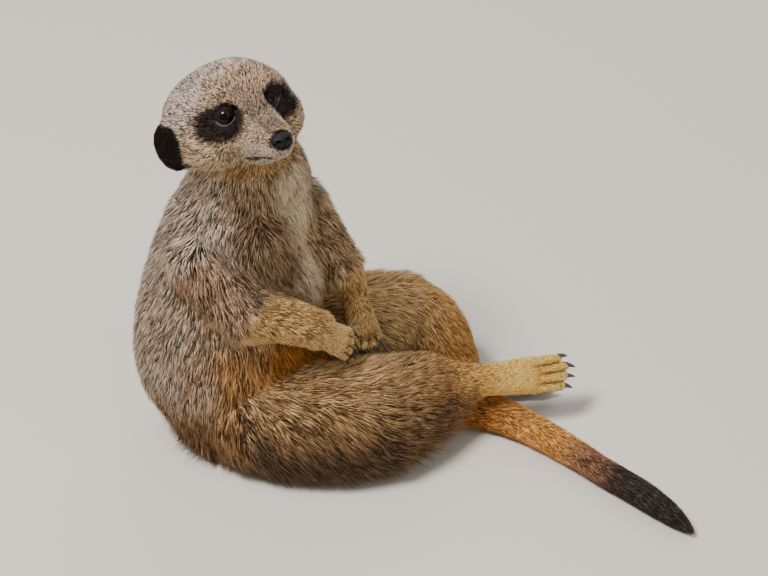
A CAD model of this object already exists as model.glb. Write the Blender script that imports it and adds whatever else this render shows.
"""Visual model of a sitting meerkat: skin, coat in tufts, eyes, nose, claws and whiskers.

The skin is made from the flesh nodes of the CAD model and lies inside them by the coat's depth.
The coat's tufts are rooted in the skin and reach out to the CAD outline. Lengths are millimetres
unless a comment says otherwise, and colours are display values from 0 to 255.
"""

import math

import bmesh
import bpy
import numpy as np
from mathutils import Matrix, Vector
from mathutils.bvhtree import BVHTree
from mathutils.kdtree import KDTree
from numpy.linalg import norm


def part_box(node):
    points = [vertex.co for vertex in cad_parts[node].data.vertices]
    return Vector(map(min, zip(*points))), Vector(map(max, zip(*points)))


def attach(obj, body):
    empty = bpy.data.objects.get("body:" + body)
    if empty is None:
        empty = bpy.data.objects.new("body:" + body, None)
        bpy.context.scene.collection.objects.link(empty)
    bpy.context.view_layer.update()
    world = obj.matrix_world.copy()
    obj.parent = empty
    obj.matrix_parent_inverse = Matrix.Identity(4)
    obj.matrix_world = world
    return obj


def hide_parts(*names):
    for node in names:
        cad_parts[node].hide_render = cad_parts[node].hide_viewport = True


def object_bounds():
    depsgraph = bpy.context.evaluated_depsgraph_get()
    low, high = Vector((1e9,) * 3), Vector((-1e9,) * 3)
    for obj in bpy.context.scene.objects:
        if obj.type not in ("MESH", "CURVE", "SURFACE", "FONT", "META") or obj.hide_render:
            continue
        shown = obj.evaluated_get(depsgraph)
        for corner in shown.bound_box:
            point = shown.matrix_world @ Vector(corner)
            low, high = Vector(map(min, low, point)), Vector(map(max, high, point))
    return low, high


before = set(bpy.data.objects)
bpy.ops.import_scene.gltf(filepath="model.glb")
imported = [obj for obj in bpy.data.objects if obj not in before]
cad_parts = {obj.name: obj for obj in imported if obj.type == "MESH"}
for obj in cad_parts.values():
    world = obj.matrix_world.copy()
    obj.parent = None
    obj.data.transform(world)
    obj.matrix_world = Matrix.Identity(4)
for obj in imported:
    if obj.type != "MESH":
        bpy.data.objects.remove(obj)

MM = 0.001
CAD_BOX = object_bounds()
RNG = np.random.default_rng(7)

SIDES = ("right", "left")

# Middle lines of the limbs and the tail, from the body outwards.
LIMBS = {
    ("right", "arm"): ((-20, -15, 122), (3, -34, 97), (38, -27, 83), (53, -21, 68)),
    ("right", "leg"): ((2, -26, 29), (62, -27, 28), (116, -6, 32), (165, 4, 30)),
    ("left", "arm"): ((24, 16, 128), (48, 9, 95), (57, 8, 69), (62, 4, 50)),
    ("left", "leg"): ((14, 22, 34), (79, 40, 34), (113, 19, 8.5), (157, 25, 4.5)),
}
TAIL_LINE = (
    (20, -2, 12), (50, 2, 11.5), (84, 2, 11), (112, -1, 10), (134, -8, 9),
    (158, -25, 7.8), (180, -46, 7.2), (200, -64, 6.8), (214, -78, 5.6), (223, -87, 3.2),
)

# For each flesh node: the coat's depth, a tuft's length and width, and how densely tufts stand.
COAT = {
    "head": (1.7, 3.0, 0.36, 6.0),
    "neck": (3.6, 8.0, 0.42, 2.8),
    "trunk": (5.0, 9.5, 0.48, 2.4),
    "right_forearm": (2.0, 5.5, 0.38, 3.8),
    "left_forearm": (1.6, 5.0, 0.36, 4.0),
    "right_thigh": (5.5, 12.0, 0.48, 2.2),
    "left_thigh": (5.0, 10.5, 0.46, 2.0),
    "right_shank": (4.0, 9.0, 0.44, 2.8),
    "left_shank": (3.5, 8.0, 0.42, 2.4),
    "right_hind_foot": (0.7, 2.8, 0.30, 6.0),
    "left_hind_foot": (0.7, 2.8, 0.30, 4.5),
    "tail_base": (2.0, 7.0, 0.40, 2.8),
    "tail_middle": (1.8, 6.5, 0.38, 3.2),
    "tail_tip": (1.6, 7.0, 0.40, 3.4),
}
for side_name in SIDES:
    COAT[side_name + "_upper_arm"] = (4.0, 8.5, 0.46, 2.6)
    COAT[side_name + "_forepaw"] = (0.7, 2.6, 0.30, 5.5)
    COAT["ear_" + side_name] = (0.5, 2.0, 0.26, 6.0)
FACE_COAT = (0.6, 2.0, 0.22, 8.0)
# The coat of a leg between shank and foot, and the shares of the leg where each stage begins.
ANKLE_COATS = ((2.0, 5.6, 0.36, 4.2), (1.2, 3.8, 0.31, 5.2))
ANKLE_STAGES = (0.64, 0.74, 0.86)
SHANK_ENDS = {"right": 0.42, "left": 0.50}
FLESH = sorted(COAT)
EARS = ("ear_left", "ear_right")
FEET = ("right_forepaw", "left_forepaw", "right_hind_foot", "left_hind_foot")
TAILS = ("tail_base", "tail_middle", "tail_tip")

COAT_TRIANGLES = 1_440_000
# Pieces of the body's coat. The tail's coat is one more.
COAT_PIECES = 7

# A tuft is a spindle: its root, three places round its widest part, and its tip.
TUFT_FACES = np.array([(0, 1, 2), (0, 2, 3), (0, 3, 1), (4, 2, 1), (4, 3, 2), (4, 1, 3)])
# Each tuft's patch of the UV map, from the place of its root.
TUFT_PATCH = np.array(((0, -1), (-1, 0), (1, 0), (0, 0), (0, 1))) * 0.0015
ROOT_DEPTH = 0.3
GUARD_SHARE = 0.3
GUARD_FROM_LENGTH = 5
TUFTS_IN_LOCK = 14
LOCK_REACH = 6
FLECK = 1.1
# How far a tuft may pass the CAD box, as a share of its side, and the least height above the floor.
BOX_SPARE = 0.02
FLOOR_GAP = 0.25

# The CAD nodes are 0.3 apart. Each grows by this much, so that they meet in the skin's cubes.
NODE_GROWTH = 0.22
SKIN_CUBE = 1.15
LID_THICKNESS = 0.9
CLEFT_DEPTH = 2.6
NOISE_PRIMES = np.array((374761393, 668265263, 2147483647))


# -------- numbers and colours


def colour(red, green, blue):
    """A display colour as linear light."""
    value = np.array((red, green, blue), float) / 255
    return np.where(value <= 0.04045, value / 12.92, ((value + 0.055) / 1.055) ** 2.4)


def unit(vectors):
    length = norm(vectors, axis=-1, keepdims=True)
    return vectors / np.maximum(length, 1e-9)


def ramp(value, start, end):
    """0 before start, 1 past end, smooth between. start may be the larger."""
    t = np.clip((value - start) / (end - start), 0, 1)
    return t * t * (3 - 2 * t)


def blend(values, others, share):
    """values where share is 0, others where it is 1."""
    return values * (1 - share) + others * share


def bell(value, width):
    """1 where value is 0, and almost 0 past twice the width."""
    return np.exp(-((value / width) ** 2))


def away_from(points, place, size=1):
    """Distance of each point from a place, in units of size."""
    return norm((points - place) / size, axis=1)


def noise(points, size, seed):
    """Smooth value noise from 0 to 1, with features of this size."""
    grid = points / size + seed * 17.31
    low = np.floor(grid).astype(np.int64)
    part = grid - low
    part = part * part * (3 - 2 * part)
    total = np.zeros(len(points))
    for corner in range(8):
        step = np.array((corner & 1, corner >> 1 & 1, corner >> 2 & 1))
        mixed = (low + step) @ NOISE_PRIMES + seed * 974711
        mixed = (mixed ^ (mixed >> 13)) * 1274126177
        value = ((mixed ^ (mixed >> 16)) & 0xFFFF) / 65535
        total += value * np.prod(np.where(step, part, 1 - part), axis=1)
    return total


def centre(node):
    """Middle of a CAD node's box."""
    low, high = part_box(node)
    return np.array((low + high) / 2) / MM


def node_points(node):
    return np.array([vert.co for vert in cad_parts[node].data.vertices]) / MM


def owned_by(owner, *nodes):
    """Whether each point belongs to one of these flesh nodes."""
    return np.isin(owner, [FLESH.index(node) for node in nodes])


# -------- the head's own frame

EYES = {-1: centre("eye_right"), 1: centre("eye_left")}
NOSE = centre("nose")
EYES_MID = (EYES[-1] + EYES[1]) / 2
MUZZLE_DROP = math.radians(19.2)
EYE_RADIUS = 5.6
EYE_SPLAY = math.radians(24)
LEFT_EAR_SINK = 2.4

# The lids' opening in radii of the eye: towards the nose, away from it, up and down.
LID_INWARD, LID_OUTWARD, LID_UP, LID_DOWN = 0.88, 0.78, 0.64, 0.56
LID_SLANT = 0.10
LEFT_LID_RAISED = 0.12

# Hollows before the eyes and beside the crown, as a place in the head's frame and a size.
HOLLOWS = (((9.0, 8.0, 2.5), (5.5, 4.0, 4.5)), ((-16, 23, 20), (13, 11, 12)))
HOLLOW_DEPTH = 2.2

# The mouth's line in the head's frame, from below the nose to its corner, on the right side.
MOUTH = (
    (31, 0, -17.6), (27.6, -4.6, -18.6), (22, -6.2, -19.6),
    (14, -8.0, -20.9), (6, -10.6, -21.2), (0.5, -12.4, -20.0),
)


def head_axes():
    """Rows are forward, left and up of the head."""
    left = unit(EYES[1] - EYES[-1])
    muzzle = unit(NOSE - EYES_MID)
    above = np.cross(muzzle, left)
    forward = math.cos(MUZZLE_DROP) * muzzle + math.sin(MUZZLE_DROP) * above
    return np.array((forward, left, np.cross(forward, left)))


HEAD = head_axes()


def in_head(points):
    """Places as (forward, left, up) from midway between the eyes."""
    return (points - EYES_MID) @ HEAD.T


def from_head(places):
    return np.asarray(places, float) @ HEAD + EYES_MID


def eye_axes(side):
    """Rows are towards the nose, up and out along the gaze, for the eye on this side."""
    forward, left, up = HEAD
    gaze = math.cos(EYE_SPLAY) * forward + side * math.sin(EYE_SPLAY) * left
    inner = math.sin(EYE_SPLAY) * forward - side * math.cos(EYE_SPLAY) * left
    return np.array((inner, up, gaze))


def lid_gap(points, side):
    """How far inside the lids' opening each point is, along the ball. Below 0 is lid."""
    way = unit(points - EYES[side]) @ eye_axes(side).T
    along = way[:, 0] - 0.03
    slant = LID_SLANT * along
    reach = np.where(along > 0, LID_INWARD, LID_OUTWARD)
    ends = np.clip(1 - np.abs(along / reach) ** 2.1, 0, 1)
    upper = LID_UP + LEFT_LID_RAISED * (side > 0)
    height = np.where(way[:, 1] > slant, upper, LID_DOWN) * ends**0.75
    gap = (height - np.abs(way[:, 1] - slant)) * EYE_RADIUS
    beside = (np.abs(along) - reach) * EYE_RADIUS
    gap = np.where(beside > 0, -np.hypot(beside, way[:, 1] * EYE_RADIUS), gap)
    return np.where(way[:, 2] > 0, gap, -9.0)


def mouth_line(side):
    return from_head(np.array(MOUTH) * (1, -side, 1))


def to_line(points, line):
    """Distance of each point from a bent line, the line's way there, and its share of the length."""
    best = np.full(len(points), 1e9)
    way = np.zeros((len(points), 3))
    share = np.zeros(len(points))
    line = np.array(line, float)
    steps = norm(np.diff(line, axis=0), axis=1)
    for i, (start, end) in enumerate(zip(line, line[1:])):
        t = np.clip((points - start) @ (end - start) / steps[i] ** 2, 0, 1)
        distance = norm(points - start - t[:, None] * (end - start), axis=1)
        near = distance < best
        best = np.where(near, distance, best)
        way[near] = (end - start) / steps[i]
        share = np.where(near, (steps[:i].sum() + t * steps[i]) / steps.sum(), share)
    return best, way, share


# -------- meshes


def linked(name, data):
    """A new object in the scene."""
    obj = bpy.data.objects.new(name, data)
    bpy.context.scene.collection.objects.link(obj)
    return obj


def smooth(obj):
    obj.data.polygons.foreach_set("use_smooth", np.ones(len(obj.data.polygons), bool))


def mesh_of(name, points, faces):
    """An object from points and faces of any size."""
    mesh = bpy.data.meshes.new(name)
    mesh.from_pydata(np.asarray(points) * MM, [], faces)
    mesh.update()
    return linked(name, mesh)


def triangle_mesh(name, points, triangles):
    """A smooth object from arrays, made fast."""
    mesh = bpy.data.meshes.new(name)
    mesh.vertices.add(len(points))
    mesh.vertices.foreach_set("co", (points * MM).astype(np.float32).ravel())
    mesh.loops.add(triangles.size)
    mesh.loops.foreach_set("vertex_index", triangles.astype(np.int32).ravel())
    mesh.polygons.add(len(triangles))
    mesh.polygons.foreach_set("loop_start", np.arange(0, triangles.size, 3, dtype=np.int32))
    mesh.update(calc_edges=True)
    mesh.validate()
    obj = linked(name, mesh)
    smooth(obj)
    return obj


def paint(obj, colours):
    """Stores linear colours on the vertices, as the attribute that the materials read."""
    layer = obj.data.attributes.new("tone", "FLOAT_COLOR", "POINT")
    values = np.ones((len(colours), 4), np.float32)
    values[:, :3] = colours
    layer.data.foreach_set("color", values.ravel())


def applied(obj):
    """The object with its modifiers made real."""
    bpy.context.view_layer.update()
    graph = bpy.context.evaluated_depsgraph_get()
    mesh = bpy.data.meshes.new_from_object(obj.evaluated_get(graph), depsgraph=graph)
    obj.modifiers.clear()
    obj.data = mesh
    return obj


def read(items, name, width, kind=np.int32):
    """A property of a mesh's items, as rows of this many numbers."""
    values = np.zeros(len(items) * width, kind)
    items.foreach_get(name, values)
    return values.reshape(-1, width)


def points_of(obj):
    return read(obj.data.vertices, "co", 3, np.float32).astype(float) / MM


def normals_of(obj):
    return read(obj.data.vertex_normals, "vector", 3, np.float32).astype(float)


def edges_of(obj):
    return read(obj.data.edges, "vertices", 2)


def triangles_of(obj):
    obj.data.calc_loop_triangles()
    return read(obj.data.loop_triangles, "vertices", 3)


def set_points(obj, points):
    obj.data.vertices.foreach_set("co", (points * MM).astype(np.float32).ravel())
    obj.data.update()


def spread(values, edges, rounds):
    """Evens values out over a mesh."""
    count = len(values)
    both = np.concatenate((edges, edges[:, ::-1]))
    degree = np.maximum(np.bincount(both[:, 0], minlength=count), 1)
    flat = values.reshape(count, -1).copy()
    for _ in range(rounds):
        for column in range(flat.shape[1]):
            near = np.bincount(both[:, 0], weights=flat[both[:, 1], column], minlength=count) / degree
            flat[:, column] += 0.5 * (near - flat[:, column])
    return flat.reshape(values.shape)


def tree_of(points, faces):
    return BVHTree.FromPolygons([tuple(p) for p in points], [tuple(f) for f in faces])


# -------- claws


def claw_line(node):
    """Root and point of a CAD claw, and its radius at the root."""
    points = node_points(node)
    middle = points.mean(0)
    axes = np.linalg.svd(points - middle)[2]
    along = (points - middle) @ axes[0]
    foot = centre(node.rsplit("_claw", 1)[0])
    outward = (points[along > 0].mean(0) - points[along < 0].mean(0)) @ (middle - foot) > 0
    along = (points - middle) @ (axes[0] if outward else -axes[0])
    tip = points[along.argmax()]
    root = points[along < np.quantile(along, 0.3)].mean(0)
    way = unit(tip - root)
    thick = points[along < np.quantile(along, 0.45)] - root
    beside = thick - np.outer(thick @ way, way)
    radius = np.quantile(norm(beside, axis=1), 0.75)
    return root, tip, radius


CLAWS = {name: claw_line(name) for name in sorted(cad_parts) if "_claw_" in name}
CLAW_STEPS = 12


def tube(centres, radii, ring=12):
    """Points and faces of a round tube with closed ends."""
    centres = np.asarray(centres, float)
    tangents = unit(np.gradient(centres, axis=0))
    side = unit(np.cross(tangents[0], (0.21, 0.34, 0.91)))
    points, faces = [], []
    for place, tangent, radius in zip(centres, tangents, radii):
        side = unit(side - (side @ tangent) * tangent)
        other = np.cross(tangent, side)
        for k in range(ring):
            angle = 2 * math.pi * k / ring
            points.append(place + radius * (math.cos(angle) * side + math.sin(angle) * other))
    last = len(points) - ring
    for first in range(0, last, ring):
        for k in range(ring):
            n = (k + 1) % ring
            faces.append((first + k, first + n, first + ring + n, first + ring + k))
    faces.append(tuple(range(ring))[::-1])
    faces.append(tuple(range(last, len(points))))
    return points, faces


def curve(places, count):
    """Points along a smooth curve through three places."""
    a, b, c = (np.asarray(place, float) for place in places)
    control = 2 * b - 0.5 * (a + c)
    t = np.linspace(0, 1, count)[:, None]
    return (1 - t) ** 2 * a + 2 * t * (1 - t) * control + t**2 * c


def make_claws(finish):
    """Each claw is a curved horn that starts inside the toe and darkens towards its point."""
    for node, (root, tip, radius) in CLAWS.items():
        length = norm(tip - root)
        start = root - 0.3 * length * unit(tip - root)
        middle = start + 0.55 * (tip - start) + np.array((0, 0, 0.09 * length))
        taper = 1 - np.linspace(0, 1, CLAW_STEPS) ** 1.7
        points, faces = tube(curve((start, middle, tip), CLAW_STEPS), radius * 0.95 * taper + 0.08)
        obj = mesh_of(node + "_horn", points, faces)
        smooth(obj)
        fine = obj.modifiers.new("fine", "SUBSURF")
        fine.levels = fine.render_levels = 1
        applied(obj)
        share = np.clip(away_from(points_of(obj), root) / length, 0, 1)[:, None]
        paint(obj, blend(colour(84, 72, 64), colour(38, 34, 33), share))
        finished(obj, finish, "claw", node)


# -------- skin


def toe_lines(foot):
    """Root and tip of each toe of a foot, from the claws."""
    tips = np.array([CLAWS[f"{foot}_claw_{i}"][0] for i in (1, 2, 3, 4)])
    middle = tips.mean(0)
    back = unit(centre(foot) - middle)
    length = 21.0 if "hind" in foot else 10.0
    roots = tips + back * length + 0.22 * (middle - tips)
    return list(zip(roots, tips))


TOES = {foot: toe_lines(foot) for foot in FEET}


def skin_solid():
    """The flesh nodes as one closed surface, with a ball of lid round each eye."""
    bm = bmesh.new()
    for node in FLESH:
        part = bmesh.new()
        part.from_mesh(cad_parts[node].data)
        part.normal_update()
        for vert in part.verts:
            vert.co += vert.normal * NODE_GROWTH * MM
        mesh = bpy.data.meshes.new("part")
        part.to_mesh(mesh)
        part.free()
        bm.from_mesh(mesh)
        bpy.data.meshes.remove(mesh)
    for side in (-1, 1):
        place = Matrix.Translation(Vector(EYES[side]) * MM)
        radius = (EYE_RADIUS + LID_THICKNESS) * MM
        bmesh.ops.create_icosphere(bm, subdivisions=4, radius=radius, matrix=place)
    mesh = bpy.data.meshes.new("skin")
    bm.to_mesh(mesh)
    bm.free()
    obj = linked("skin", mesh)
    mend = obj.modifiers.new("mend", "REMESH")
    mend.mode = "VOXEL"
    mend.voxel_size = SKIN_CUBE * MM
    return applied(obj)


def finer(obj):
    """Splits the faces of the muzzle, ears and toes once, and those round the eyes twice."""
    bm = bmesh.new()
    bm.from_mesh(obj.data)
    round_eyes = [(EYES[-1], 12), (EYES[1], 12)]
    spots = [*round_eyes, (NOSE, 14), (from_head((14, 0, -18)), 13)]
    spots += [(centre(ear), 15) for ear in EARS]
    for foot in FEET:
        spots += [((root + tip) / 2, 9 if "hind" in foot else 7) for root, tip in TOES[foot]]
    for group, shrink in ((spots, 1), (round_eyes, 0.75)):
        chosen = set()
        for face in bm.faces:
            middle = np.array(face.calc_center_median()) / MM
            if any(norm(middle - spot) < reach * shrink for spot, reach in group):
                chosen.update(face.edges)
        bmesh.ops.subdivide_edges(bm, edges=list(chosen), cuts=1, use_grid_fill=True)
    bmesh.ops.triangulate(bm, faces=[face for face in bm.faces if len(face.verts) != 4])
    bm.to_mesh(obj.data)
    bm.free()


def nearest_nodes(points):
    """Index in FLESH of the CAD node nearest to each point."""
    corners, faces, owners = [], [], []
    for i, node in enumerate(FLESH):
        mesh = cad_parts[node].data
        first = len(corners)
        corners += [tuple(vert.co / MM) for vert in mesh.vertices]
        for face in mesh.polygons:
            faces.append(tuple(first + k for k in face.vertices))
            owners.append(i)
    tree = BVHTree.FromPolygons(corners, faces)
    return np.array([owners[tree.find_nearest(Vector(point))[2]] for point in points])


def opened_lids(points, side):
    """Lays the lids on the ball of an eye, and sinks the skin where they are open."""
    from_eye = points - EYES[side]
    radius = norm(from_eye, axis=1)
    gap = lid_gap(points, side)
    lid = EYE_RADIUS + 0.42 + 0.18 * ramp(gap, -1.6, -0.3)
    opening = blend(lid, EYE_RADIUS - 1.6, ramp(gap, -0.12, 0.22))
    target = np.where(gap > -0.2, opening, np.maximum(radius, lid))
    near = (radius < 9.5) & (gap > -3.2)
    radius = np.where(near, blend(radius, target, ramp(gap, -3.2, -1.8)), radius)
    return EYES[side] + unit(from_eye) * radius[:, None]


def hollowed_ear(points, ear, side):
    """Sinks a bowl into the front of an ear, with a fold of skin in it."""
    middle = centre(ear)
    axes = np.linalg.svd(node_points(ear) - middle)[2]
    thin = axes[2] if axes[2] @ (HEAD[0] + side * 0.6 * HEAD[1]) > 0 else -axes[2]
    along, across, out = ((points - middle) @ np.array((axes[0], axes[1], thin)).T).T
    within = np.hypot(along / 9.5, across / 6.2)
    bowl = 3.2 * ramp(within, 1.0, 0.45) * ramp(out, -0.3, 1.0) * (np.abs(out) < 6)
    fold = 1.1 * bell(within - 0.55, 0.13) * (across < 2) * (out > 0) * (out < 6)
    return points - thin * (bowl - fold)[:, None]


def sculpted_head(points, normals):
    """Draws in the hollows and the mouth's line, opens the lids and hollows the ears."""
    for side in (-1, 1):
        for (ahead, aside, above), size in HOLLOWS:
            away = away_from(in_head(points), (ahead, side * aside, above), size)
            points = points - normals * (HOLLOW_DEPTH * bell(away, 1))[:, None]
    for side in (-1, 1):
        points = opened_lids(points, side)
    for side in (-1, 1):
        distance, _, share = to_line(points, mouth_line(side))
        dent = 1.3 * bell(distance, 0.9) * ramp(share, 1.0, 0.9)
        points = points - normals * dent[:, None]
    points = hollowed_ear(points, "ear_right", -1)
    return hollowed_ear(points, "ear_left", 1)


def between_toes(points, foot):
    """1 in the clefts between the toes of a foot, where two toes are equally near."""
    found = [to_line(points, line) for line in TOES[foot]]
    distances = np.array([distance for distance, _, _ in found])
    shares = np.array([share for _, _, share in found])
    nearest, second = np.sort(distances, axis=0)[:2]
    share = np.take_along_axis(shares, distances.argmin(0)[None], 0)[0]
    return bell(second - nearest, 1.1) * ramp(share, 0.1, 0.55)


def clefts(points, owner):
    """1 in the clefts between all toes."""
    found = np.zeros(len(points))
    for foot in FEET:
        here = owned_by(owner, foot)
        found[here] = between_toes(points[here], foot)
    return found


def coat_table(points, owner):
    """Depth, length, width and density of the coat at each vertex."""
    table = np.array([COAT[node] for node in FLESH])[owner]
    ahead, _, above = in_head(points).T
    head = owned_by(owner, "head")
    nearest_eye = np.minimum(away_from(points, EYES[-1]), away_from(points, EYES[1]))
    fine = np.maximum(ramp(ahead, 2, 12) * head, ramp(nearest_eye, 13, 7) * head)[:, None]
    table = np.where(head[:, None], blend(table, np.array(FACE_COAT), fine), table)
    tip = ramp(ahead, 20, 29) * head
    table[:, 0] *= 1 - 0.5 * tip
    table[:, 1] *= 1 - 0.45 * tip
    cheek = head * ramp(ahead, 4, -12) * ramp(above, 2, -14)
    table[:, 0] += cheek
    table[:, 1] += 2.2 * cheek
    for side, end in SHANK_ENDS.items():
        foot, shank = side + "_hind_foot", side + "_shank"
        share = to_line(points, LIMBS[side, "leg"])[2]
        stages = np.array((COAT[shank], *ANKLE_COATS, COAT[foot])).T
        tapered = [np.interp(share, (end, *ANKLE_STAGES), stage) for stage in stages]
        table = np.where(owned_by(owner, foot, shank)[:, None], np.column_stack(tapered), table)
    low = ramp(points[:, 2], 50, 8) * owned_by(owner, "trunk", "right_thigh", "left_thigh")
    table[:, 1] += 5 * low
    return table


def head_flow(points):
    """Back from the nose, and outwards round each eye."""
    way = unit(points - NOSE) + 0.25 * unit(points - EYES_MID)
    for side in (-1, 1):
        away = points - EYES[side]
        near = bell(norm(away, axis=1) - 5, 5.5)
        way = way + unit(away) * (1.5 * near)[:, None]
    return way - 0.25 * HEAD[0]


def trunk_flow(points):
    """Down, forwards at the rump, and outwards round the whorl on the chest."""
    way = np.tile((-0.06, 0.0, -1.0), (len(points), 1))
    low = ramp(points[:, 2], 70, 15)
    way[:, 0] += 0.45 * low
    way[:, 1] += -0.2 * low * (points[:, 1] < 0)
    away = points - CHEST_WHORL
    near = bell(norm(away, axis=1), 15)
    return way + unit(away) * (1.1 * near)[:, None]


def limb_flow(points, node):
    """Along the limb, and drooping."""
    side, part = node.split("_", 1)
    limb = "arm" if "arm" in node or "paw" in node else "leg"
    droop = {"thigh": 0.75, "shank": 0.35, "upper_arm": 0.6, "forearm": 0.3}.get(part, 0.05)
    return to_line(points, LIMBS[side, limb])[1] + np.array((0, 0, -1)) * droop


def coat_flow(points, owner):
    """The way the coat lies at each vertex."""
    flow = np.zeros_like(points)
    for node in FLESH:
        here = owned_by(owner, node)
        there = points[here]
        if node in TAILS:
            flow[here] = to_line(there, TAIL_LINE)[1]
        elif node in ("head", *EARS):
            flow[here] = head_flow(there)
        elif node in ("neck", "trunk"):
            flow[here] = trunk_flow(there)
        else:
            flow[here] = limb_flow(there, node)
    return flow


# -------- markings

# Each marking is (colour of the hair's dark part, colour of its light part).
BACK = ((42, 30, 21), (255, 228, 200))
FLANK = ((62, 36, 14), (242, 182, 114))
RUMP = ((30, 20, 13), (214, 164, 110))
UNDER = ((14, 10, 8), (172, 138, 104))
THIGH = ((66, 42, 22), (238, 190, 132))
THIGH_TOP = ((112, 74, 38), (252, 208, 148))
FAR_THIGH = ((148, 96, 48), (255, 220, 158))
UPPER_ARM = {"right": ((50, 34, 23), (222, 176, 134)), "left": ((66, 46, 25), (232, 190, 132))}
LEG = ((146, 88, 36), (255, 202, 122))
ARM = ((126, 80, 36), (255, 212, 142))
FOOT = ((255, 176, 74), (255, 230, 138))
CHEST = ((74, 57, 40), (200, 168, 128))
STRIPE = ((156, 126, 92), (255, 238, 202))
WHORL = ((40, 28, 19), (124, 92, 62))
LAP = ((112, 64, 16), (220, 150, 64))
CROWN = ((70, 52, 42), (244, 222, 206))
BROW = ((64, 46, 34), (228, 192, 158))
CHEEK = ((88, 64, 42), (246, 216, 174))
MUZZLE = ((100, 80, 64), (246, 228, 206))
BRIDGE = ((60, 46, 38), (168, 142, 122))
THROAT = ((122, 82, 38), (214, 168, 104))
BLACK = ((22, 15, 12), (70, 57, 50))
EAR = ((6, 4, 3), (44, 30, 23))
ORANGE = ((170, 98, 34), (255, 194, 112))
TAIL_ROOT = ((112, 62, 20), (214, 142, 70))
BROWN = ((100, 64, 44), (196, 142, 106))
TAIL_END = ((34, 27, 25), (100, 86, 80))
LIPS = ((44, 31, 24), (110, 90, 74))
TOE_GAP = ((70, 46, 26), (150, 108, 62))

# Places of markings. The one before the ear is in the head's frame.
CHEST_STRIPE = ((26, -8, 166), (28, -8, 152), (34, -6, 134), (38, -7, 114), (42, -9, 92))
CHEST_WHORL = (11, -24, 141)
BEFORE_EAR = (-20.5, -33, -14)


def eye_patch(place, roughness):
    """1 in the dark patch round each eye. place is in the head's frame."""
    beside = np.abs(place[:, 1])
    along = (place[:, 0] - 3.5) * -0.74 + (beside - 14.5) * 0.67
    across = place[:, 2] + 1.6
    reach = np.hypot(along / 13.5, across / np.where(across > 0, 8.0, 9.0))
    return ramp(reach + roughness, 1.26, 0.76) * (beside > 2.0)


class Marks:
    """Dark and light colour of the coat at each point, and how much of it is light."""

    def __init__(self, points, weights):
        self.points = points
        self.of = of = dict(zip(FLESH, weights.T))
        self.trunk = of["trunk"] + of["neck"]
        self.thighs = of["right_thigh"] + of["left_thigh"]
        self.rough = noise(points, 3.0, 3) - 0.5
        self.wide = noise(points, 12.0, 4) - 0.5
        self.dark, self.light = (np.tile(colour(*tone), (len(points), 1)) for tone in BACK)
        self.part = np.full(len(points), 0.50)

    def lay(self, mark, amount, part=None):
        """Brings in a marking where amount is above 0, with its share of light hairs."""
        amount = np.clip(amount, 0, 1)
        self.dark = self.dark + (colour(*mark[0]) - self.dark) * amount[:, None]
        self.light = self.light + (colour(*mark[1]) - self.light) * amount[:, None]
        if part is not None:
            self.part = self.part + (part - self.part) * amount


def mark_body(marks):
    """Flank, rump, chest, lap and thighs."""
    lay = marks.lay
    x, y, z = marks.points.T
    wide, trunk, thighs = marks.wide, marks.trunk, marks.thighs
    right_leg = thighs + marks.of["right_shank"]
    front = (x - 3) * 0.64 - (y - 6) * 0.77
    shoulder = ramp(z, 156, 147) * ramp(x + 5 * wide, 6, -4)
    belly = ramp(z, 84, 66) * ramp(front, 8, 22) * ramp(y, -40, -28)
    lay(FLANK, trunk * ramp(z + 16 * wide, 116, 70) * ramp(x + 14 * wide, -30, -2), 0.48)
    lay(RUMP, trunk * ramp(z + 10 * wide, 34, 12) * 0.7, 0.42)
    chest = trunk * ramp(front + 6 * wide, 8, 20) * ramp(z, 60, 84) * (1 - shoulder)
    lay(CHEST, chest, 0.5)
    lay(LAP, trunk * belly, 0.5)
    lay(THIGH, right_leg + marks.of["left_shank"], 0.52)
    lay(THIGH_TOP, right_leg * ramp(z + 6 * wide, 46, 58), 0.55)
    lay(LAP, thighs * ramp(y, -14, 0) * ramp(y, 30, 14) * ramp(z, 24, 40) * 0.7)
    lay(RUMP, right_leg * ramp(z + 8 * wide, 32, 12) * 0.85, 0.36)
    lay(FAR_THIGH, marks.of["left_thigh"] + marks.of["left_shank"], 0.62)


def mark_limbs(marks):
    """Lower legs, arms, feet and the clefts between the toes."""
    lay = marks.lay
    x, of = marks.points[:, 0], marks.of
    legs = sum(of[side + "_shank"] + of[side + "_hind_foot"] for side in SIDES)
    lay(LEG, legs * ramp(x + 10 * marks.wide, 80, 112), 0.58)
    for side in SIDES:
        feet = of[side + "_forepaw"] * 0.6 + of[side + "_hind_foot"] * ramp(x, 112, 138)
        lay(UPPER_ARM[side], of[side + "_upper_arm"] * 0.8, 0.52)
        lay(ARM, of[side + "_forearm"], 0.62)
        lay(FOOT, feet, 0.75)
    for foot in FEET:
        near = np.flatnonzero(of[foot] > 0.2)
        cleft = np.zeros(len(x))
        cleft[near] = between_toes(marks.points[near], foot)
        lay(TOE_GAP, cleft * of[foot], 0.3)


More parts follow.
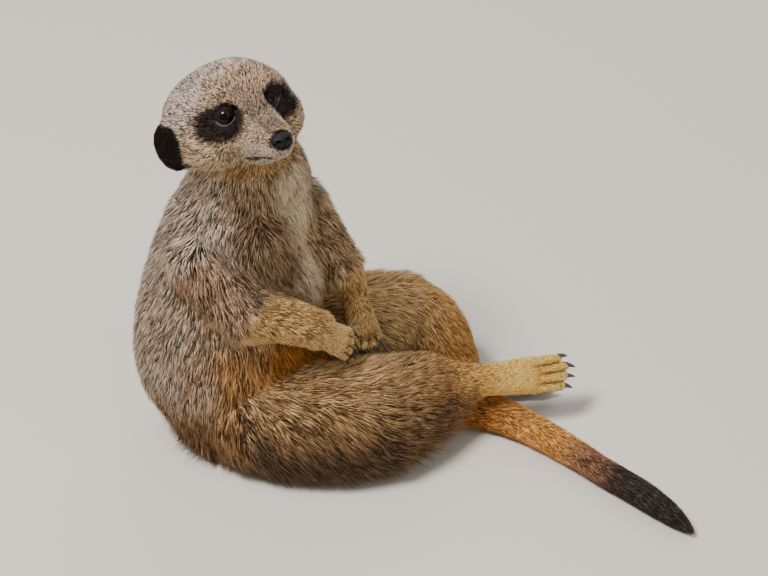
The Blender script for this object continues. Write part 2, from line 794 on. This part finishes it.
def mark_chest(marks):
    """The chest's pale stripe and dark whorl, and the shaded coat low on the right side."""
    lay = marks.lay
    points, rough, wide = marks.points, marks.rough, marks.wide
    trunk, thighs, shank = marks.trunk, marks.thighs, marks.of["right_shank"]
    _, y, z = points.T
    reach = np.interp(z, (110, 150), (11.5, 13.5))
    stripe = to_line(points, CHEST_STRIPE)[0] + 6 * rough + 3 * wide - reach
    lay(STRIPE, trunk * ramp(stripe, 3, -7), 0.8)
    whorl = away_from(points, CHEST_WHORL, (12, 9, 5.5)) + 0.5 * rough
    lay(WHORL, 0.7 * trunk * ramp(whorl, 1.4, 0.4), 0.28)
    low = (thighs + trunk + shank) * ramp(z + 9 * wide, 50, 26) * ramp(y, 0, -30)
    lay(RUMP, low * 0.85, 0.33)
    right = ramp(y, -4, -24)
    lay(UNDER, (thighs + 0.5 * shank) * ramp(z + 8 * wide, 44, 24) * right, 0.2)
    lay(UNDER, 0.6 * trunk * ramp(z + 8 * wide, 26, 10) * right, 0.3)


def mark_head(marks):
    """Crown, brow, cheeks, muzzle, throat, lips, eye patches and ears."""
    lay = marks.lay
    points, rough = marks.points, marks.rough
    place = in_head(points)
    ahead, aside, above = place[:, 0], np.abs(place[:, 1]), place[:, 2]
    ears = marks.of["ear_left"] + marks.of["ear_right"]
    head = marks.of["head"] + ears
    lay(CROWN, head, 0.55)
    lay(BROW, head * ramp(ahead, -12, 2) * ramp(above, -6, 2), 0.5)
    lay(CHEEK, head * ramp(above + 5 * rough, 4, -8), 0.56)
    lay(BRIDGE, head * ramp(ahead, 6, 12) * ramp(aside, 7, 4) * ramp(above, -10, -4) * 0.8)
    lay(MUZZLE, head * ramp(ahead, 4, 14) * ramp(above, -8, -14), 0.66)
    lay(THROAT, 0.75 * head * ramp(above + 3 * rough, -25, -29) * ramp(ahead, -22, -8), 0.5)
    from_mouth, _, along = to_line(np.column_stack((ahead, -aside, above)), MOUTH)
    lay(LIPS, head * ramp(from_mouth + 0.8 * rough, 2.0, 0.9) * ramp(along, 1.0, 0.75), 0.3)
    lay(BLACK, head * eye_patch(place, 0.35 * (noise(points, 1.3, 11) - 0.5)), 0.3)
    before_ear = away_from(place, BEFORE_EAR, (8.5, 9, 13.5)) + 0.3 * rough
    from_left, from_right = (away_from(points, centre(ear)) for ear in EARS)
    lay(EAR, ramp(before_ear, 1.1, 0.8), 0.3)
    lay(EAR, ramp(from_right, 10.5, 9.0) * ramp(ahead, -29, -26), 0.3)
    lay(EAR, ears * 1.8 * ramp(np.minimum(from_left, from_right), 20, 16), 0.3)


def mark_tail(marks):
    """Orange, with a brown root and a dark end."""
    lay = marks.lay
    tail = sum(marks.of[node] for node in TAILS)
    share = to_line(marks.points, TAIL_LINE)[2] + 0.04 * marks.rough
    lay(ORANGE, tail, 0.58)
    lay(TAIL_ROOT, tail * ramp(share, 0.56, 0.45), 0.5)
    lay(BROWN, tail * ramp(share, 0.62, 0.72), 0.45)
    lay(TAIL_END, tail * ramp(share, 0.72, 0.82), 0.35)


def markings(points, weights):
    """Dark colour, light colour and share of light hairs at each point."""
    marks = Marks(points, weights)
    for mark in (mark_body, mark_limbs, mark_chest, mark_head, mark_tail):
        mark(marks)
    return marks.dark, marks.light, marks.part


# -------- coat


def varied(count, low, span):
    """A random factor for each of these, from low to low + span."""
    return low + span * RNG.random(count)


def scattered(wanted):
    """A face for each tuft, and its place in the face as three shares. wanted is tufts in a face."""
    count = np.floor(wanted + RNG.random(len(wanted))).astype(int)
    face = np.repeat(np.arange(len(wanted)), count)
    mix = RNG.random((len(face), 2))
    mix = np.where(mix.sum(1, keepdims=True) > 1, 1 - mix, mix)
    return face, np.column_stack((1 - mix.sum(1), mix))[:, :, None]


def grown_tufts(skin, table, flow, owner):
    """Roots, middles and tips of all tufts, with the skin's normals, their widths and faces."""
    points, normals, triangles = points_of(skin), normals_of(skin), triangles_of(skin)
    a, b, c = (points[triangles[:, k]] for k in range(3))
    area = 0.5 * norm(np.cross(b - a, c - a), axis=1)
    density = table[triangles, 3].mean(1) * hair_share(points, normals, owner)[triangles].min(1)
    wanted = area * density
    wanted *= COAT_TRIANGLES / (len(TUFT_FACES) * wanted.sum())
    face, mix = scattered(wanted)

    def at(values):
        """Values of the vertices, at the tufts' roots."""
        return (values[triangles[face]] * (mix if values.ndim > 1 else mix[:, :, 0])).sum(1)

    root, normal = at(points), unit(at(normals))
    depth, length, width = at(table[:, 0]), at(table[:, 1]), at(table[:, 2])
    total = len(face)
    guard = (RNG.random(total) < GUARD_SHARE) & (length > GUARD_FROM_LENGTH)
    length = length * varied(total, 0.75, 0.5) * np.where(guard, 1.2, 1)
    width = width * varied(total, 0.75, 0.5) * np.where(guard, 0.6, 1)
    lift = (depth + 0.2) * varied(total, 0.8, 0.55) * np.where(guard, 1.15, 1)
    turn = np.radians(14) * (noise(root, 9.0, 5) - 0.5) * 2
    turn = turn + np.radians(10) * RNG.standard_normal(total)

    # Half a tuft's length along the skin leads to its middle, and nearly half more to its tip.
    way = combed(at(flow), normal, turn)
    tree = tree_of(points, triangles)
    middle, middle_normal, there = onto(tree, root + way * (0.52 * length)[:, None])
    way_on = unit(combed(flow[triangles[there, 0]], middle_normal, turn) + 0.6 * way)
    straight = middle + way_on * (0.5 * length)[:, None]
    tip, tip_normal, _ = onto(tree, straight)
    low = ramp(root[:, 2], 30, 8) * ramp(length, 6, 9) * ~owned_by(owner[triangles[face, 0]], *TAILS)
    loose = np.maximum(np.where(guard, 0.45, 0.2), low)[:, None]
    tip = blend(tip, straight, loose)
    middle = middle + middle_normal * (0.62 * lift)[:, None]
    tip = tip + unit(tip_normal + middle_normal) * lift[:, None]
    tip = gathered(root, tip, length)

    # The long tufts at the lower edge stand out over the floor.
    outward = unit(normal * (1, 1, 0)) * ramp(np.abs(normal[:, 2]), 0.98, 0.85)[:, None]
    spray = low * (0.75 * RNG.random(total) ** 2 + 0.5 * noise(root, 3.0, 12))
    middle = middle + outward * (4 * spray)[:, None]
    tip = tip + outward * (13 * spray)[:, None]
    return root - ROOT_DEPTH * normal, middle, tip, normal, width, face


def combed(way, normal, turn):
    """A direction laid into the surface and turned in it."""
    way = unit(way - (way * normal).sum(1, keepdims=True) * normal)
    return way * np.cos(turn)[:, None] + np.cross(normal, way) * np.sin(turn)[:, None]


def onto(tree, places):
    """The nearest places of the skin, with their normals and faces."""
    found = np.zeros_like(places)
    normals = np.zeros_like(places)
    faces = np.zeros(len(places), int)
    for i, place in enumerate(places):
        location, normal, face, _ = tree.find_nearest(Vector(place))
        found[i], normals[i], faces[i] = location, normal, face
    return found, normals, faces


def gathered(root, tip, length):
    """Draws the tips of neighbouring tufts together into locks."""
    leaders = RNG.permutation(len(root))[: max(len(root) // TUFTS_IN_LOCK, 1)]
    tree = KDTree(len(leaders))
    for i, leader in enumerate(leaders):
        tree.insert(Vector(root[leader]), i)
    tree.balance()
    near = leaders[np.array([tree.find(Vector(place))[1] for place in root])]
    lead = root + (tip[near] - root[near])
    in_reach = norm(root - root[near], axis=1) < LOCK_REACH
    pull = np.where(length > 5, 0.35, 0.15) * in_reach
    return tip + (0.5 * (tip[near] + lead) - tip) * pull[:, None]


def hair_share(points, normals, owner):
    """How much of the coat grows: none on the lids' rims, the mouth's line, the nose and the soles."""
    hair = np.ones(len(points))
    for side in (-1, 1):
        near = away_from(points, EYES[side]) < 9
        hair = np.where(near, hair * ramp(lid_gap(points, side), -0.7, -1.2), hair)
        hair *= ramp(to_line(points, mouth_line(side))[0], 0.7, 1.2)
    from_nose = away_from(in_head(points), in_head(NOSE[None]), (4.0, 4.9, 4.3))
    hair *= ramp(from_nose, 1.0, 1.12)
    hair *= 1 - 0.7 * clefts(points, owner)
    return hair * (1 - sole_of(normals, owner))


def sole_of(normals, owner):
    """1 on the bare undersides of the feet and hands."""
    sole = np.zeros(len(normals))
    for foot in FEET:
        roots, tips = (np.array(ends) for ends in zip(*TOES[foot]))
        down = np.cross(tips[3] - tips[0], tips.mean(0) - roots.mean(0))
        down = unit(down if down[2] < 0 else -down)
        sole = np.where(owned_by(owner, foot), ramp(normals @ down, 0.45, 0.75), sole)
    return sole


def tuft_shades(root, tip, owner, weights):
    """Colours of each tuft's five places. owner and weights are those of its root."""
    dark, light, part = markings(0.5 * (root + tip), weights)
    total = len(root)
    calm = np.where(owned_by(owner, *TAILS, *FEET, "right_shank", "left_shank"), 0.5, 1)
    strong = np.interp(norm(tip - root, axis=1), (3, 8), (0.35, 1.6))
    fleck = calm * (0.4 * (noise(root, 4.0, 8) - 0.5) + strong * (noise(root, FLECK, 9) - 0.5))
    pale = RNG.random(total) < np.clip(part + fleck, 0.03, 0.97)
    end_pale = np.where(RNG.random(total) < 0.25, ~pale, pale)

    def toned(light_one):
        """A hair's colour: nearly all light or nearly all dark."""
        pick = np.where(light_one, RNG.uniform(0.75, 1.1, total), RNG.uniform(-0.05, 0.22, total))
        return np.maximum(dark + (light - dark) * pick[:, None], 0)

    tone, end = toned(pale), toned(end_pale)
    return np.stack((dark * 0.35, tone, tone, tone, end), 1)


def tuft_places(root, middle, tip, normal, width):
    """The five places of each tuft, kept near the CAD box and above the floor."""
    side = unit(np.cross(tip - root, normal)) * (0.5 * width)[:, None]
    up = normal * (0.35 * width)[:, None]
    places = np.stack((root, middle - side, middle + side, middle + up, tip), 1)
    lowest, highest = (np.array(corner) / MM for corner in CAD_BOX)
    spare = BOX_SPARE * (highest - lowest)
    places = np.clip(places, lowest - spare, highest + spare)
    places[:, :, 2] = np.maximum(places[:, :, 2], FLOOR_GAP)
    return places


def make_coat(skin, table, flow, owner, weights, finish):
    root, middle, tip, normal, width, face = grown_tufts(skin, table, flow, owner)
    vertex = triangles_of(skin)[face, 0]
    shades = tuft_shades(root, tip, owner[vertex], weights[vertex])
    places = tuft_places(root, middle, tip, normal, width)
    patches = root_places(skin, root)[:, None] + TUFT_PATCH
    piece_of = RNG.integers(0, COAT_PIECES, len(root))
    piece_of[owned_by(owner[vertex], *TAILS)] = COAT_PIECES
    for piece in range(COAT_PIECES + 1):
        name, slot = f"coat_{piece + 1}", "coat"
        if piece == COAT_PIECES:
            name, slot = "coat_tail", "tail_coat"
        chosen = piece_of == piece
        faces = (np.arange(chosen.sum())[:, None, None] * 5 + TUFT_FACES).reshape(-1, 3)
        obj = triangle_mesh(name, places[chosen].reshape(-1, 3), faces)
        paint(obj, shades[chosen].reshape(-1, 3))
        layer = obj.data.uv_layers.new(name="OFBake")
        corners = patches[chosen].reshape(-1, 2)[read(obj.data.loops, "vertex_index", 1)[:, 0]]
        layer.data.foreach_set("uv", corners.astype(np.float32).ravel())
        finished(obj, finish, slot)


def root_places(skin, roots):
    """Where each root lies on an unwrap of the skin, with head, hands and feet enlarged."""
    plain = linked("unwrap", skin.data.copy())
    thin = plain.modifiers.new("thin", "DECIMATE")
    thin.ratio = 0.05
    applied(plain)
    points = points_of(plain)
    larger = points.copy()
    spots = [(centre("head"), 42, 1.0)] + [(centre(foot), 30, 1.4) for foot in FEET]
    for spot, reach, more in spots:
        near = ramp(away_from(points, spot), reach * 1.3, reach * 0.8)
        larger += (points - spot) * (more * near)[:, None]
    set_points(plain, larger)
    bpy.context.view_layer.objects.active = plain
    bpy.ops.object.mode_set(mode="EDIT")
    bpy.ops.mesh.select_all(action="SELECT")
    bpy.ops.uv.smart_project(angle_limit=math.radians(66), island_margin=0.003)
    bpy.ops.object.mode_set(mode="OBJECT")
    triangles = triangles_of(plain)
    places = read(plain.data.uv_layers.active.data, "uv", 2, np.float32)
    places = places[read(plain.data.loop_triangles, "loops", 3)]
    found, _, faces = onto(tree_of(points, triangles), roots)
    a, b, c = (points[triangles[faces, k]] for k in range(3))
    whole = np.cross(b - a, c - a)
    size = np.maximum((whole * whole).sum(1), 1e-12)
    second = (np.cross(found - a, c - a) * whole).sum(1) / size
    third = (np.cross(b - a, found - a) * whole).sum(1) / size
    share = np.clip(np.column_stack((1 - second - third, second, third)), 0, 1)
    bpy.data.objects.remove(plain)
    return np.clip((places[faces] * share[:, :, None]).sum(1), 0.002, 0.998)


# -------- eyes, nose and whiskers


def unit_ball(create, **detail):
    """Points and faces of a ball of radius 1. create leaves the faces in any order."""
    bm = bmesh.new()
    create(bm, radius=1, **detail)
    points = np.array([vert.co for vert in bm.verts])
    faces = sorted(tuple(vert.index for vert in face.verts) for face in bm.faces)
    bm.free()
    return points, faces


def make_eye(side, name, finish):
    """The ball with its iris and pupil, and the bulge of its cornea."""
    ball, faces = unit_ball(bmesh.ops.create_uvsphere, u_segments=64, v_segments=48)
    angle = np.degrees(np.arccos(np.clip(ball[:, 2], -1, 1)))
    cornea = 0.28 * ramp(angle, 50, 20)
    from_middle = norm(ball[:, :2], axis=1, keepdims=True)
    around = ball[:, :2] / np.maximum(from_middle, 0.1)
    streak = noise(np.column_stack((around * 9, ball[:, 2:])), 1.0, 2)
    iris = colour(43, 22, 11) * (0.5 + 0.8 * streak)[:, None]
    tone = blend(iris, colour(12, 8, 7), ramp(angle, 46, 52)[:, None])
    pupil = ramp(np.hypot(ball[:, 0] / 0.52, ball[:, 1] / 0.40), 1.1, 0.9)[:, None]
    points = EYES[side] + (ball * (EYE_RADIUS + cornea)[:, None]) @ eye_axes(side)
    obj = mesh_of(name + "_ball", points, faces)
    smooth(obj)
    paint(obj, blend(tone, colour(5, 4, 4), pupil))
    finished(obj, finish, "eye", name)


def make_nose(finish):
    """The bare pad, with its nostrils and the groove between them."""
    ball, faces = unit_ball(bmesh.ops.create_icosphere, subdivisions=6)
    place = ball * (3.8, 4.7, 3.9)
    place[:, 1] *= 1 + 0.10 * ramp(place[:, 2], -2, 2)
    place[:, 2] -= 0.6 * ramp(place[:, 2], 0, 4) * ramp(place[:, 0], 0, 3)
    aside, above = place[:, 1], place[:, 2]
    deep = np.zeros(len(place))
    for side in (-1, 1):
        hole = np.hypot((aside - side * 2.5) / 1.15, (above + 0.1 - 0.15 * np.abs(aside)) / 0.9)
        slit = np.hypot((aside - side * 4.1) / 1.3, (above + 0.5) / 0.45)
        nostril = np.maximum(1.5 * ramp(hole, 1.15, 0.6), 0.8 * ramp(slit, 1.2, 0.6))
        deep = np.maximum(deep, nostril * (ball[:, 0] > 0.05))
    groove = 0.35 * bell(aside, 0.4) * ramp(above, 1.2, -0.6) * (ball[:, 0] > 0)
    grain = 0.09 * (noise(place, 0.55, 6) - 0.5)
    place = place - ball * (deep + groove - grain)[:, None]
    obj = mesh_of("nose_pad", from_head(place + in_head(NOSE[None])), faces)
    smooth(obj)
    shade = np.clip(deep / 1.2 + groove, 0, 1)[:, None]
    paint(obj, blend(colour(15, 11, 10), colour(4, 3, 3), shade))
    finished(obj, finish, "dark_skin", "nose")


def make_whiskers(finish):
    """Two rows of four on each side of the muzzle, and two above each eye."""
    rows = [(12 + 4.2 * i, 8.2 - 0.8 * i, -13.5 - 2.6 * row) for i in range(4) for row in range(2)]
    above_eye = [(1, 9, 9.5), (-3, 12, 10)]
    points, faces = [], []
    for side in (-1, 1):
        for place in rows + above_eye:
            on_brow = place in above_eye
            start = from_head(np.array(place) * (1, side, 1) - (0, side * 1.5, 0))
            length = RNG.uniform(14, 24) * (0.7 if on_brow else 1)
            back = -0.35 + RNG.uniform(-0.2, 0.25)
            rise = RNG.uniform(-0.35, 0.1) + (1.1 if on_brow else 0)
            way = unit(np.array((back, side, rise))) @ HEAD
            bend = (np.array((-0.25, 0, -0.12)) @ HEAD) * length
            middle = start + 0.5 * length * way - 0.05 * bend
            line = curve((start, middle, start + length * way + bend), 9)
            more, more_faces = tube(line, np.linspace(0.085, 0.03, 9), 5)
            faces += [tuple(k + len(points) for k in face) for face in more_faces]
            points += list(more)
    obj = mesh_of("whiskers", points, faces)
    paint(obj, np.tile(colour(62, 54, 48), (len(points), 1)))
    finished(obj, finish, "dark_skin")


# -------- materials


def set_sockets(node, **values):
    """Sets a node's inputs, with _ for each space in a name."""
    for socket, value in values.items():
        node.inputs[socket.replace("_", " ")].default_value = value
    return node


def material(name, roughness, bump=0.0, bump_size=0.5, **sockets):
    """A surface in the vertices' tones, with fine grain."""
    made = bpy.data.materials.new(name)
    made.use_nodes = True
    nodes, links = made.node_tree.nodes, made.node_tree.links
    shader = set_sockets(nodes["Principled BSDF"], Roughness=roughness, **sockets)
    tone = nodes.new("ShaderNodeAttribute")
    tone.attribute_name = "tone"
    place = nodes.new("ShaderNodeTexCoord")
    grain = set_sockets(nodes.new("ShaderNodeTexNoise"), Scale=1 / (bump_size * MM), Detail=3)
    links.new(place.outputs["Object"], grain.inputs["Vector"])
    level = set_sockets(nodes.new("ShaderNodeMapRange"), To_Min=0.86, To_Max=1.14)
    links.new(grain.outputs["Fac"], level.inputs["Value"])
    mixed = nodes.new("ShaderNodeVectorMath")
    mixed.operation = "SCALE"
    links.new(tone.outputs["Color"], mixed.inputs[0])
    links.new(level.outputs["Result"], mixed.inputs["Scale"])
    links.new(mixed.outputs["Vector"], shader.inputs["Base Color"])
    if bump:
        relief = set_sockets(nodes.new("ShaderNodeBump"), Strength=bump, Distance=0.3 * MM)
        links.new(grain.outputs["Fac"], relief.inputs["Height"])
        links.new(relief.outputs["Normal"], shader.inputs["Normal"])
    return made


def finished(obj, finish, slot, *nodes):
    """Gives a piece its material and ties it to the frame."""
    obj.data.materials.clear()
    obj.data.materials.append(finish)
    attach(obj, "root")
    if nodes:
        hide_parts(*nodes)


# -------- stage

# Name, place and size in metres, and power of each light.
LIGHTS = (
    ("key", (-0.60, -0.45, 1.5), 0.45, 42),
    ("fill", (1.3, -0.9, 0.9), 1.2, 7),
    ("back", (0.2, 1.3, 1.1), 1.0, 9),
)
LIT_PLACE = (0.05, 0, 0.1)

# The camera's place in metres, and how far it looks down.
CAMERA_PLACE = (0.07052, -0.93042, 0.81508)
CAMERA_DOWN = 38


def make_stage():
    reach, level = 4000, -0.2
    corners = [(x * reach, y * reach, level) for x, y in ((-1, -1), (1, -1), (1, 1), (-1, 1))]
    floor = mesh_of("floor", corners, [(0, 1, 2, 3)])
    plain = bpy.data.materials.new("pale_floor")
    plain.use_nodes = True
    tone = (*colour(205, 196, 184), 1)
    set_sockets(plain.node_tree.nodes["Principled BSDF"], Base_Color=tone, Roughness=0.9)
    floor.data.materials.append(plain)
    for name, place, size, power in LIGHTS:
        light = bpy.data.lights.new(name, "AREA")
        light.energy = power
        light.size = size
        lamp = linked(name, light)
        lamp.location = place
        aim = Vector(LIT_PLACE) - lamp.location
        lamp.rotation_euler = aim.to_track_quat("-Z", "Y").to_euler()
    world = bpy.data.worlds.new("studio")
    world.use_nodes = True
    sky = world.node_tree.nodes["Background"]
    set_sockets(sky, Color=(0.92, 0.95, 1, 1), Strength=0.42)
    bpy.context.scene.world = world


def make_camera():
    lens = bpy.data.cameras.new("camera")
    lens.lens = 110
    lens.sensor_width = 36
    camera = linked("camera", lens)
    camera.location = CAMERA_PLACE
    camera.rotation_euler = (math.radians(90 - CAMERA_DOWN), 0, 0)
    bpy.context.scene.camera = camera


# -------- the whole


def made_skin():
    """The finished skin, with the coat's table and flow at its vertices, and their nodes."""
    skin = skin_solid()
    points, edges = points_of(skin), edges_of(skin)
    detailed = owned_by(nearest_nodes(points), "head", *EARS, *FEET)
    keep = spread(detailed.astype(float), edges, 10)[:, None]
    set_points(skin, blend(spread(points, edges, 14), spread(points, edges, 2), keep))
    finer(skin)
    points, normals, edges = points_of(skin), normals_of(skin), edges_of(skin)
    owner = nearest_nodes(points)
    weights = spread(np.eye(len(FLESH))[owner], edges, 6)
    table = spread(coat_table(points, owner), edges, 24)
    normals = unit(spread(normals, edges, 4))
    flow = unit(spread(coat_flow(points, owner), edges, 16))
    points = points - normals * table[:, :1]
    left_ear = weights[:, FLESH.index("ear_left")]
    points = points - HEAD[1] * (LEFT_EAR_SINK * left_ear)[:, None]
    points = sculpted_head(points, normals)
    points = points - normals * (CLEFT_DEPTH * clefts(points, owner))[:, None]
    set_points(skin, points)
    smooth(skin)
    return skin, table, flow, owner, weights


def skin_tones(points, normals, owner, weights):
    """The coat's dark colour, with bare soles, lids, lips and rim of the nose."""
    dark, light, _ = markings(points, weights)
    base = dark * 0.75 + 0.12 * light
    base = blend(base, colour(74, 58, 50), sole_of(normals, owner)[:, None])
    for side in (-1, 1):
        gap = lid_gap(points, side)
        near = away_from(points, EYES[side]) < 9
        lid = (ramp(gap, -1.8, -1.0) * near)[:, None]
        base = blend(base, colour(26, 19, 17), lid)
        rim = (ramp(gap, -0.6, -0.35) * ramp(gap, 0.2, 0.0) * near)[:, None]
        low = ramp(((points - EYES[side]) @ eye_axes(side).T)[:, 1:2], 0.5, -1.5)
        base = blend(base, blend(colour(34, 27, 25), colour(80, 74, 71), low), rim)
        lips = ramp(to_line(points, mouth_line(side))[0], 1.1, 0.4)[:, None]
        base = blend(base, colour(52, 38, 32), lips)
    round_nose = ramp(away_from(points, NOSE), 8.0, 5.5)[:, None]
    return blend(base, colour(58, 44, 37), round_nose)


def main():
    skin, table, flow, owner, weights = made_skin()
    paint(skin, skin_tones(points_of(skin), normals_of(skin), owner, weights))
    skin_finish = material("skin", 0.8, bump=0.6, bump_size=0.45, Specular_IOR_Level=0.2)
    finished(skin, skin_finish, "coat", *FLESH)
    fur = material("fur", 0.75, bump_size=0.6, Specular_IOR_Level=0.12)
    make_coat(skin, table, flow, owner, weights, fur)
    tears = {"Coat_Weight": 0.8, "Coat_Roughness": 0.03, "Coat_IOR": 1.33}
    wet = material("wet_eye", 0.12, bump_size=0.3, Specular_IOR_Level=0.0, **tears)
    make_eye(-1, "eye_right", wet)
    make_eye(1, "eye_left", wet)
    make_nose(material("nose_leather", 0.5, bump=0.8, bump_size=0.35, Specular_IOR_Level=0.2))
    make_claws(material("horn", 0.35, bump=0.1, bump_size=0.6))
    make_whiskers(material("whisker", 0.5, bump_size=0.6))
    make_stage()
    make_camera()


main()
